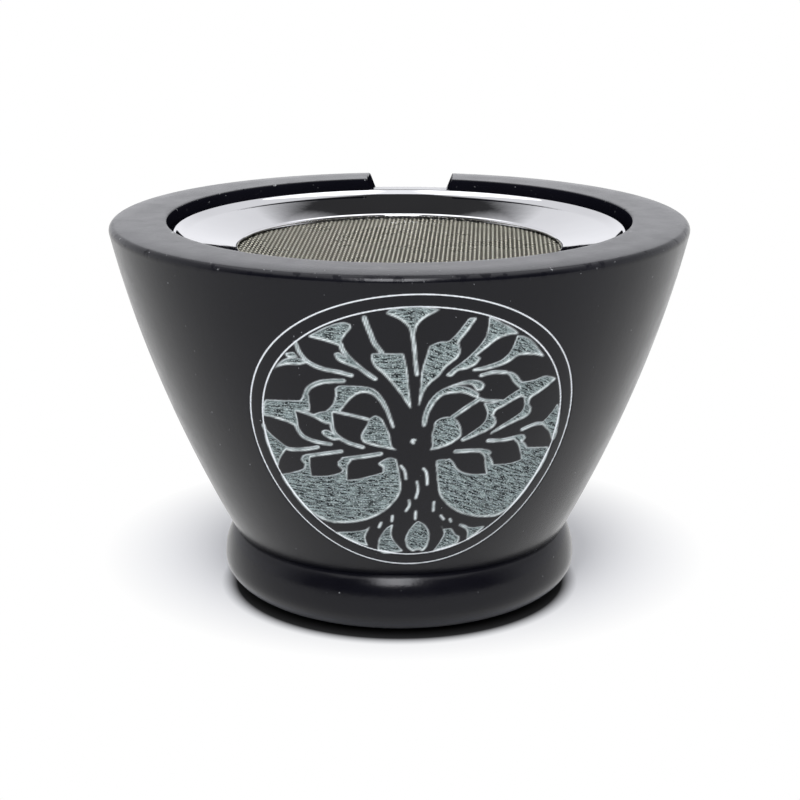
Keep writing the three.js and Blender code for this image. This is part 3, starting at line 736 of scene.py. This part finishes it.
def stone_bowl(material):
    """The turned bowl with its engraving and its notch, and what its material needs to know about them."""
    foot = bowl_foot()
    side, slope, rim = bowl_side()
    crown = bowl_crown(rim[-1])
    profile = np.vstack([foot, side, rim[1:], crown, bowl_inside()])
    on_side = slice(len(foot), len(foot) + len(side))
    crown_start = on_side.stop + len(rim) - 1
    mouth_start = crown_start + len(crown)
    angles = bowl_angles()
    radii, heights = repeated(profile, len(angles))

    # The tree and its circles are cut into the side
    across, up = medallion_place(side, slope, angles)
    axis, opened, beds = carving_fields()
    opened = sampled(opened, axis, across, up)
    bed = sampled(beds, axis, across, up)
    reach = ring_reach(across, up)
    rings = sum(np.exp(-(((reach - radius) / RING_LINE) ** 2)) for radius in RING_RADII)
    bed_cut = (BED_DEPTH + HATCH_DEPTH * hatching(across, up)) * bed
    cut = CUT_DEPTH * np.maximum(opened, rings) + bed_cut
    tangent = directions(side)
    radii[on_side] -= cut * tangent[:, 1:]
    heights[on_side] += cut * tangent[:, :1]

    radii, heights, lowered, on_floor = cut_notch(radii, heights, angles, side)
    mesh = turned_mesh("stone_bowl_look", radii, heights, angles)

    def whole(values):
        """Values for the side, with 0 for the rest of the bowl."""
        padded = np.zeros(radii.shape + values.shape[2:])
        padded[on_side] = values
        return padded

    rows = np.arange(len(profile))[:, None]
    rim_top = (rows >= crown_start - 1) & (rows < mouth_start)
    corners = np.array([(RIM_RADIUS, BOWL_HEIGHT), (SEAT_RADIUS, BOWL_HEIGHT)])
    corner_reach = np.linalg.norm(profile[:, None, :] - corners, axis=2).min(axis=1)
    edges = np.exp(-((corner_reach / EDGE_WEAR) ** 2))
    slant = np.where(across > 0, HATCH_SLANT, 0)
    along_hatch = across * np.cos(slant) - up * np.sin(slant)
    over_hatch = across * np.sin(slant) + up * np.cos(slant)
    layers = {
        "edges": np.broadcast_to(edges[:, None], radii.shape),
        "carved": whole(opened),
        "bed": whole(bed),
        "cuts": whole(27 / 4 * opened**2 * (1 - opened)),  # 1 at two thirds of the way into a cut
        "inward": whole(np.maximum(0, MEDALLION_EDGE - reach)),
        # paler rim top and notch floor, partly wear and partly painted reflection
        "worn_and_reflection": np.where(lowered, on_floor, RIM_WEAR_AND_REFLECTION * rim_top),
        "dull": np.where(lowered, ~on_floor, rows > mouth_start),
    }
    panel = whole(np.stack([along_hatch, over_hatch, np.zeros_like(up)], axis=-1))
    spare = len(mesh.vertices) - radii.size
    for name, values in layers.items():
        layer = mesh.attributes.new(name, "FLOAT", "POINT")
        layer.data.foreach_set("value", np.append(values.ravel(), np.zeros(spare)))
    layer = mesh.attributes.new("panel", "FLOAT_VECTOR", "POINT")
    layer.data.foreach_set("vector", np.append(panel.ravel(), np.zeros(3 * spare)))
    make_piece(mesh, material, "bowl", "stone_bowl")


# Sieve


def sieve_flange(material):
    """Sheet steel that rolls over its rim, then slopes down to a lip over the wire."""
    crease = CREST + (CREST_BEND + CREASE) * np.array([math.cos(ROLL_TURN), math.sin(ROLL_TURN)])
    run, rise = crease - LIP
    face_turn = math.atan2(rise, run) + math.acos((CREASE + LIP_BEND) / math.hypot(run, rise))
    top = np.vstack((
        [(SIEVE_RADIUS, SKIRT_FOOT)],
        arc(CREST, CREST_BEND, 0, ROLL_TURN, steps=18),
        arc(crease, CREASE, ROLL_TURN + HALF_TURN, face_turn + HALF_TURN, steps=14)[1:],
        arc(LIP, LIP_BEND, face_turn, HALF_TURN, steps=10),
        [(LIP[0] - LIP_BEND, LIP_FOOT)],
    ))
    step = directions(top)
    under = top + SHEET * np.stack([-step[:, 1], step[:, 0]], axis=1)
    mesh = turned_profile("sieve_flange_look", np.vstack([top, under[::-1]]), segments=256)
    make_piece(mesh, material, "sieve", "sieve_flange")


def woven_wire(wire, lengthwise, radius, wave):
    """Rings of points along one wire, which passes over and under the wires that cross it."""
    half_pitch = WIRE_PITCH / 2
    offset = wire * WIRE_PITCH
    crossings = int(math.sqrt(CLOTH_RADIUS**2 - offset**2) / half_pitch)
    steps = np.arange(-crossings, crossings + 1)
    along = steps * half_pitch
    over = wave * np.cos(math.pi * (steps / 2 + wire + lengthwise))
    slope = np.gradient(over, along)
    lean = 1 / np.hypot(1, slope)
    turn = once_round(WIRE_SIDES)
    upwards = radius * np.sin(turn)
    run = along[:, None] - (slope * lean)[:, None] * upwards
    rise = CLOTH_HEIGHT + over[:, None] + lean[:, None] * upwards
    aside = np.broadcast_to(offset + radius * np.cos(turn), run.shape)
    return np.stack([aside, run, rise] if lengthwise else [run, aside, rise], axis=-1)


def sieve_cloth(material):
    """Woven wire: thick wires lie close from front to back, and thin ones pass over and under them."""
    points = []
    faces = []
    total = 0
    count = int(CLOTH_RADIUS / WIRE_PITCH)
    for lengthwise, radius, wave in ((False, WEFT_RADIUS, WEFT_WAVE), (True, WARP_RADIUS, WARP_WAVE)):
        for wire in range(-count, count + 1):
            tube = woven_wire(wire, lengthwise, radius, wave)
            rows = len(tube)
            faces += (grid_faces(rows, WIRE_SIDES) + total).tolist()
            for end in (0, rows - 1):
                faces.append([total + end * WIRE_SIDES + i for i in range(WIRE_SIDES)])
            points.append(tube)
            total += rows * WIRE_SIDES
    mesh = make_mesh("sieve_cloth_look", np.concatenate(points), faces)
    make_piece(mesh, material, "sieve", "sieve_mesh")


def mesh_ring(material):
    profile = [
        (RING_INNER, RING_FOOT + RING_SOFT), (RING_INNER + RING_SOFT, RING_FOOT),
        (RING_OUTER - RING_BEND, RING_FOOT),
        (RING_OUTER - RING_SOFT, RING_FOOT + RING_SOFT),
        (RING_OUTER, RING_FOOT + RING_BEND),
        (RING_OUTER, RING_TOP - RING_SOFT), (RING_OUTER - RING_SOFT, RING_TOP),
        (RING_UPRIGHT + RING_SOFT, RING_TOP), (RING_UPRIGHT, RING_TOP - RING_SOFT),
        (RING_UPRIGHT, RING_SHELF),
        (RING_INNER + RING_SOFT, RING_SHELF), (RING_INNER, RING_SHELF - RING_SOFT),
    ]
    mesh = turned_profile("mesh_ring_look", profile, segments=192)
    make_piece(mesh, material, "sieve", "mesh_ring")


# Tea light


def tealight_cup(material):
    round_centre = (CUP_FOOT_RADIUS - CUP_ROUND, CUP_FOOT + CUP_ROUND)
    lip_bend = CUP_WALL / 2
    lip_centre = (CUP_LIP_RADIUS - lip_bend, CUP_TOP - lip_bend)
    inner_top = (CUP_TOP_RADIUS - CUP_WALL, CUP_TOP)
    corner = arc(round_centre, CUP_ROUND, -QUARTER_TURN, 0, steps=5)
    wall = line((CUP_FOOT_RADIUS, round_centre[1]), (CUP_TOP_RADIUS, CUP_TOP - CUP_WALL), steps=8)
    profile = np.vstack((
        [(FLAT_MIDDLE, CUP_FOOT)],
        corner,
        wall,
        arc(lip_centre, lip_bend, -QUARTER_TURN, QUARTER_TURN, steps=6),
        [inner_top],
        line(inner_top, (CUP_FOOT_RADIUS - CUP_WALL, round_centre[1]), steps=8),
        arc(round_centre, CUP_ROUND - CUP_WALL, 0, -QUARTER_TURN, steps=5)[1:],
        [(FLAT_MIDDLE, CUP_FOOT + CUP_WALL)],
    ))
    segments = CUP_FLUTES * FLUTE_COLUMNS
    angles = once_round(segments)
    radii, heights = repeated(profile, segments)
    wall_start = 1 + len(corner)
    plain_rows = 2  # of the wall, below the lip
    fluted = slice(wall_start, wall_start + len(wall) - plain_rows)
    radii[fluted] -= FLUTE_DEPTH * (0.5 + 0.5 * np.cos(CUP_FLUTES * angles))
    mesh = turned_mesh("tealight_cup_look", radii, heights, angles)
    make_piece(mesh, material, "tealight", "tealight_cup")


def tealight_wax(material):
    """Poured wax, a little sunk round the wick and drawn up at its edge."""
    tab_room = TAB_RADIUS + GAP
    tab_roof = WAX_FOOT + TAB_SHEET + GAP
    neck_room = WICK_BORE + TAB_SHEET + GAP
    neck_roof = TAB_NECK + GAP
    sunk = WAX_TOP - WAX_SINK
    inset, corner_rise = WAX_CORNER
    parts = np.linspace(1, WAX_MIDDLE, 14)
    profile = np.vstack((
        [(tab_room, WAX_FOOT), (WAX_RADIUS - WAX_FOOT_INSET, WAX_FOOT)],
        [(WAX_RADIUS - inset, WAX_FOOT + corner_rise)],
        [(WAX_RADIUS * part, sunk + WAX_SINK * part**WAX_CREEP) for part in parts],
        [(WICK_BORE, sunk), (WICK_BORE, neck_roof), (neck_room, neck_roof)],
        [(neck_room, tab_roof), (tab_room, tab_roof)],
    ))
    mesh = turned_profile("tealight_wax_look", profile, segments=96)
    make_piece(mesh, material, "tealight", "tealight_wax")


def tealight_wick(material):
    """Three strands twisted together; the free end leans over."""
    rows = 60
    sides = 24
    tip_rows = 2
    height = np.linspace(WAX_FOOT, WAX_TOP + WICK_RISE, rows)[:, None]
    turn = once_round(sides)
    bend = np.clip((height - WAX_TOP) / WICK_RISE, 0, 1)
    groove = STRAND_GROOVE * (1 - np.cos(WICK_STRANDS * (turn + STRAND_TWIST * height)))
    radius = WICK_RADIUS * (1 - groove)
    radius[-tip_rows:] *= WICK_TIP
    x = WICK_LEAN * bend**2 + radius * np.cos(turn)
    y = radius * np.sin(turn)
    z = np.broadcast_to(height, x.shape)
    faces = grid_faces(rows, sides).tolist()
    faces.append(list(range(sides))[::-1])
    faces.append(list(range((rows - 1) * sides, rows * sides)))
    mesh = make_mesh("tealight_wick_look", np.stack([x, y, z], axis=-1), faces)
    make_piece(mesh, material, "tealight", "tealight_wick")


def wick_tab(material):
    neck = WICK_BORE + TAB_SHEET
    top = WAX_FOOT + TAB_SHEET
    profile = [
        (WICK_BORE, WAX_FOOT),
        (TAB_RADIUS - TAB_SOFT, WAX_FOOT), (TAB_RADIUS, WAX_FOOT + TAB_SOFT),
        (TAB_RADIUS, top - TAB_SOFT), (TAB_RADIUS - TAB_SOFT, top),
        (neck + TAB_BEND, top), (neck, top + TAB_BEND),
        (neck, TAB_NECK - TAB_SOFT), (neck - TAB_SOFT, TAB_NECK),
        (WICK_BORE, TAB_NECK),
    ]
    mesh = turned_profile("wick_tab_look", profile, segments=48)
    make_piece(mesh, material, "tealight", "wick_tab")


# Materials


def feed(socket, value):
    """Links an input to a socket, or sets it to a plain value."""
    if isinstance(value, bpy.types.NodeSocket):
        socket.id_data.links.new(value, socket)
    else:
        socket.default_value = value


def feed_node(node, **values):
    """Feeds the inputs of a node by name, with underscores for spaces."""
    for name, value in values.items():
        feed(node.inputs[name.replace("_", " ")], value)


def add_node(tree, kind, **values):
    node = tree.nodes.new("ShaderNode" + kind)
    feed_node(node, **values)
    return node


def mixed(factor, first, second):
    """A colour between two colours or sockets."""
    node = add_node(factor.id_data, "Mix")
    node.data_type = "RGBA"
    colour_inputs = (0, 6, 7)  # factor and the two colours among the inputs for all kinds of data
    for index, value in zip(colour_inputs, (factor, first, second)):
        feed(node.inputs[index], value)
    return node.outputs[2]


def computed(operation, *values):
    """A number made from one or two numbers or sockets."""
    tree = next(value.id_data for value in values if isinstance(value, bpy.types.NodeSocket))
    node = add_node(tree, "Math")
    node.operation = operation
    node.use_clamp = operation in ("MULTIPLY", "ADD", "MAXIMUM")
    for socket, value in zip(node.inputs, values):
        feed(socket, value)
    return node.outputs[0]


def ranged(value, low, high, to_low=0.0, to_high=1.0):
    """A number carried over from one range to another."""
    node = add_node(value.id_data, "MapRange", Value=value, From_Min=low, From_Max=high)
    feed_node(node, To_Min=to_low, To_Max=to_high)
    return node.outputs[0]


def noise(vector, scale, detail):
    """Cloudy values of about 0.3 to 0.7. The scale is in clouds for each unit of length."""
    node = add_node(vector.id_data, "TexNoise", Vector=vector, Scale=scale, Detail=detail, Roughness=0.5)
    return node.outputs["Fac"]


def distance(place, centre):
    node = add_node(place.id_data, "VectorMath")
    node.operation = "DISTANCE"
    feed(node.inputs[0], place)
    feed(node.inputs[1], centre)
    return node.outputs["Value"]


def stretched(vector, scale):
    """Coordinates with their own scale along each axis."""
    return add_node(vector.id_data, "Mapping", Vector=vector, Scale=scale).outputs["Vector"]


def attribute(tree, name, output="Fac"):
    """Values that were stored with the points of a mesh."""
    node = add_node(tree, "Attribute")
    node.attribute_name = name
    return node.outputs[output]


def new_material(name):
    """A material with its surface node and coordinates in metres."""
    material = bpy.data.materials.new(name)
    material.use_nodes = True
    tree = material.node_tree
    place = add_node(tree, "TexCoord").outputs["Object"]
    return material, tree.nodes["Principled BSDF"], place


def bumped(surface, height, depth):
    """Gives a surface fine relief that is depth metres high."""
    bump = add_node(height.id_data, "Bump", Height=height, Distance=depth, Strength=1.0)
    feed_node(surface, Normal=bump.outputs["Normal"])


def polished_stone(tree, place, edges):
    """Cloudy black, with pale specks, chips along the rim's edges, and a paler tone on the rim's top and the
    notch's floor that is partly wear and partly painted reflection.
    """
    tone = mixed(noise(place, scale=60, detail=5), STONE_DARK, STONE_CLOUD)
    chip = ranged(noise(place, scale=900, detail=3), 0.69, 0.76, to_high=0.9)
    chip = computed("MULTIPLY", chip, edges)
    speck = ranged(noise(place, scale=1300, detail=1), 0.79, 0.82, to_high=0.5)
    tone = mixed(computed("MAXIMUM", speck, chip), tone, STONE_CHIP)
    # paler rim top and notch floor: partly wear, partly painted reflection
    return mixed(attribute(tree, "worn_and_reflection"), tone, STONE_WORN_AND_REFLECTION)


def cut_stone(tree, panel):
    """Raw stone in the cuts: hatched and grained on the beds, darker on the slopes down to them."""
    hatch = noise(stretched(panel, HATCH_STRETCH), scale=1, detail=2)
    grain = noise(stretched(panel, GRAIN_STRETCH), scale=1, detail=2)
    tone = mixed(ranged(hatch, 0.4, 0.62), HATCH_DARK, HATCH_LIGHT)
    tone = mixed(ranged(grain, 0.52, 0.68, to_high=0.9), tone, HATCH_GRAIN)
    on_bed = ranged(attribute(tree, "bed"), 0, 0.6, to_low=0.3)
    return mixed(on_bed, CUT_SLOPE, tone)


def ring_scratches(tree):
    """Where the two circles round the tree are scratched."""
    inward = attribute(tree, "inward")
    lines = []
    for radius in RING_RADII:
        aside = computed("SUBTRACT", inward, MEDALLION_EDGE - radius)
        lines.append(ranged(computed("ABSOLUTE", aside), *RING_FADE, to_low=1, to_high=0))
    return computed("MAXIMUM", *lines)


def stone_material():
    material, surface, place = new_material("black_soapstone")
    tree = material.node_tree
    edges = attribute(tree, "edges")
    panel = attribute(tree, "panel", "Vector")
    carved = ranged(attribute(tree, "carved"), 0.4, 0.8)
    tone = mixed(carved, polished_stone(tree, place, edges), cut_stone(tree, panel))
    patchy = ranged(noise(panel, scale=0.5, detail=2), 0.35, 0.6, to_low=0.4)
    tone = mixed(computed("MULTIPLY", attribute(tree, "cuts"), patchy), tone, CUT_EDGE)
    scratch = ring_scratches(tree)
    tone = mixed(scratch, tone, RING_SCRATCH)
    pit = ranged(noise(place, scale=420, detail=2), 0.58, 0.64)
    pit = computed("MULTIPLY", pit, edges)
    dull = computed("MAXIMUM", pit, attribute(tree, "dull"))
    sheen = ranged(noise(place, scale=220, detail=4), 0.3, 0.7, to_low=0.17, to_high=0.25)
    opened = computed("MAXIMUM", carved, scratch)
    rough = computed("ADD", sheen, computed("MULTIPLY", opened, 0.5))
    shine = ranged(dull, 0, 1, to_low=0.5, to_high=0)
    feed_node(surface, Base_Color=tone, Roughness=rough, IOR=STONE_IOR, Specular_IOR_Level=shine)
    bumped(surface, noise(place, scale=1400, detail=3), depth=0.00002)
    return material


def cloudy_material(name, tones, cloud_scale, roughness, grain_scale, relief, **shine):
    """A plain material whose tone and roughness follow the same clouds, with fine grain."""
    material, surface, place = new_material(name)
    cloud = noise(place, cloud_scale, detail=4)
    tone = mixed(cloud, *tones)
    rough = ranged(cloud, 0.3, 0.7, *roughness)
    feed_node(surface, Base_Color=tone, Roughness=rough, **shine)
    bumped(surface, noise(place, grain_scale, detail=3), relief)
    return material


def metal_material(name, colour, roughness, grain_scale):
    dull = tuple(0.9 * channel for channel in colour[:3]) + (1,)
    range_of_roughness = (0.8 * roughness, 1.25 * roughness)
    return cloudy_material(
        name, (dull, colour), 90, range_of_roughness, grain_scale, relief=0.000004, Metallic=1.0
    )


def wax_material():
    depths = (0.004, 0.003, 0.002)  # to which red, green and blue light go in
    shine = {"Subsurface_Weight": 0.25, "Subsurface_Radius": depths}
    return cloudy_material("candle_wax", (WAX_DULL, WAX_CLEAR), 150, (0.38, 0.55), 320, 0.00005, **shine)


def cotton_material():
    material, surface, place = new_material("wick_cotton")
    fibre = noise(stretched(place, (1, 1, 0.25)), scale=5000, detail=3)
    feed_node(surface, Base_Color=mixed(fibre, COTTON_DARK, COTTON_LIGHT), Roughness=0.95)
    bumped(surface, fibre, depth=0.00006)
    return material


# Studio


def studio_floor():
    """White paper under the bowl, which keeps the bowl's shadow, with a painted contact shadow and a painted
    soft shadow added round the bowl.
    """
    mesh = bpy.data.meshes.new("studio_floor")
    corners = [(x * FLOOR_REACH, y * FLOOR_REACH, 0) for x, y in ((-1, -1), (1, -1), (1, 1), (-1, 1))]
    mesh.from_pydata(corners, [], [(0, 1, 2, 3)])
    material, surface, place = new_material("studio_floor")
    tree = material.node_tree
    # painted contact shadow: a dark floor tone and no white glow close to the foot
    contact = ranged(distance(place, (0, 0, 0)), *CONTACT_RADII)
    # painted soft shadow: less of the white glow near the bowl, for camera rays
    shade = ranged(distance(place, SHADE_CENTRE), *SHADE_RADII, to_low=SHADE_WHITE)
    rays = add_node(tree, "LightPath")
    camera_ray = rays.outputs["Is Camera Ray"]
    dark = computed("MULTIPLY", camera_ray, computed("SUBTRACT", 1, contact))
    tone = mixed(dark, PAPER_IN_PAINTED_SHADE, CONTACT_SHADOW)
    feed_node(surface, Base_Color=tone, Roughness=0.8, Specular_IOR_Level=0.0)
    mirrored = computed("MULTIPLY", rays.outputs["Is Glossy Ray"], FLOOR_MIRRORED)
    seen = computed("MAXIMUM", computed("MULTIPLY", camera_ray, shade), mirrored)
    glow = add_node(tree, "Emission", Color=WHITE, Strength=1.0)
    blend = add_node(tree, "MixShader", Fac=computed("MULTIPLY", seen, contact))
    feed(blend.inputs[1], surface.outputs["BSDF"])
    feed(blend.inputs[2], glow.outputs["Emission"])
    feed_node(tree.nodes["Material Output"], Surface=blend.outputs["Shader"])
    mesh.materials.append(material)
    add_object(mesh)


def studio_world():
    """White paper behind the bowl up to half of the sky's height, a white panel above it on each side with a
    dark slot between them, and a dark room in front."""
    world = bpy.data.worlds.new("studio_world")
    bpy.context.scene.world = world
    world.use_nodes = True
    tree = world.node_tree
    direction = add_node(tree, "TexCoord").outputs["Generated"]
    turned = add_node(tree, "Mapping", Vector=direction, Rotation=(0, 0, -CAMERA_TURN))
    parts = add_node(tree, "SeparateXYZ", Vector=turned.outputs["Vector"]).outputs
    haze = ranged(parts["Z"], HAZE_START, PAPER_END[0], to_low=1, to_high=HAZE_LEVEL)
    low = ranged(parts["Z"], *PAPER_END, to_low=1, to_high=0)
    aside = ranged(computed("ABSOLUTE", parts["X"]), *SLOT)
    behind = ranged(parts["Y"], ROOM_FRONT, 0)
    paper = computed("MULTIPLY", computed("MAXIMUM", low, aside), haze)
    level = computed("MULTIPLY", paper, behind)
    light = mixed(level, DARK_ROOM, (*STUDIO_WHITE, 1))
    camera_ray = add_node(tree, "LightPath").outputs["Is Camera Ray"]
    seen = mixed(camera_ray, light, WHITE)
    feed_node(tree.nodes["Background"], Color=seen, Strength=1.0)


def studio_lamp(name, place, size, power):
    lamp = bpy.data.lights.new(name, "AREA")
    lamp.color = STUDIO_WHITE
    lamp.shape = "RECTANGLE"
    lamp.size, lamp.size_y = size
    lamp.energy = power
    lamp_object = add_object(lamp)
    lamp_object.location = place
    aim = Vector(LAMP_AIM) - Vector(place)
    lamp_object.rotation_euler = aim.to_track_quat("-Z", "Y").to_euler()


def studio_camera():
    lens = bpy.data.cameras.new("studio_camera")
    lens.lens = CAMERA_LENS
    lens.sensor_width = CAMERA_SENSOR
    lens.shift_x = CAMERA_SHIFT
    camera = add_object(lens)
    camera.location = (
        CAMERA_DISTANCE * MM * math.sin(CAMERA_TURN),
        -CAMERA_DISTANCE * MM * math.cos(CAMERA_TURN),
        CAMERA_HEIGHT * MM,
    )
    camera.rotation_euler = (QUARTER_TURN - CAMERA_PITCH, 0, CAMERA_TURN)
    bpy.context.scene.camera = camera


steel = metal_material("polished_steel", STEEL, roughness=0.03, grain_scale=500)
wire = metal_material("steel_wire", WIRE, roughness=0.28, grain_scale=4000)
aluminium = metal_material("cup_aluminium", ALUMINIUM, roughness=0.26, grain_scale=900)

stone_bowl(stone_material())
sieve_flange(steel)
sieve_cloth(wire)
mesh_ring(steel)
tealight_cup(aluminium)
tealight_wax(wax_material())
tealight_wick(cotton_material())
wick_tab(aluminium)

studio_floor()
studio_world()
for name, (place, size, power) in LAMPS.items():
    studio_lamp(name, place, size, power)
studio_camera()
bpy.context.scene.view_settings.view_transform = "Standard"
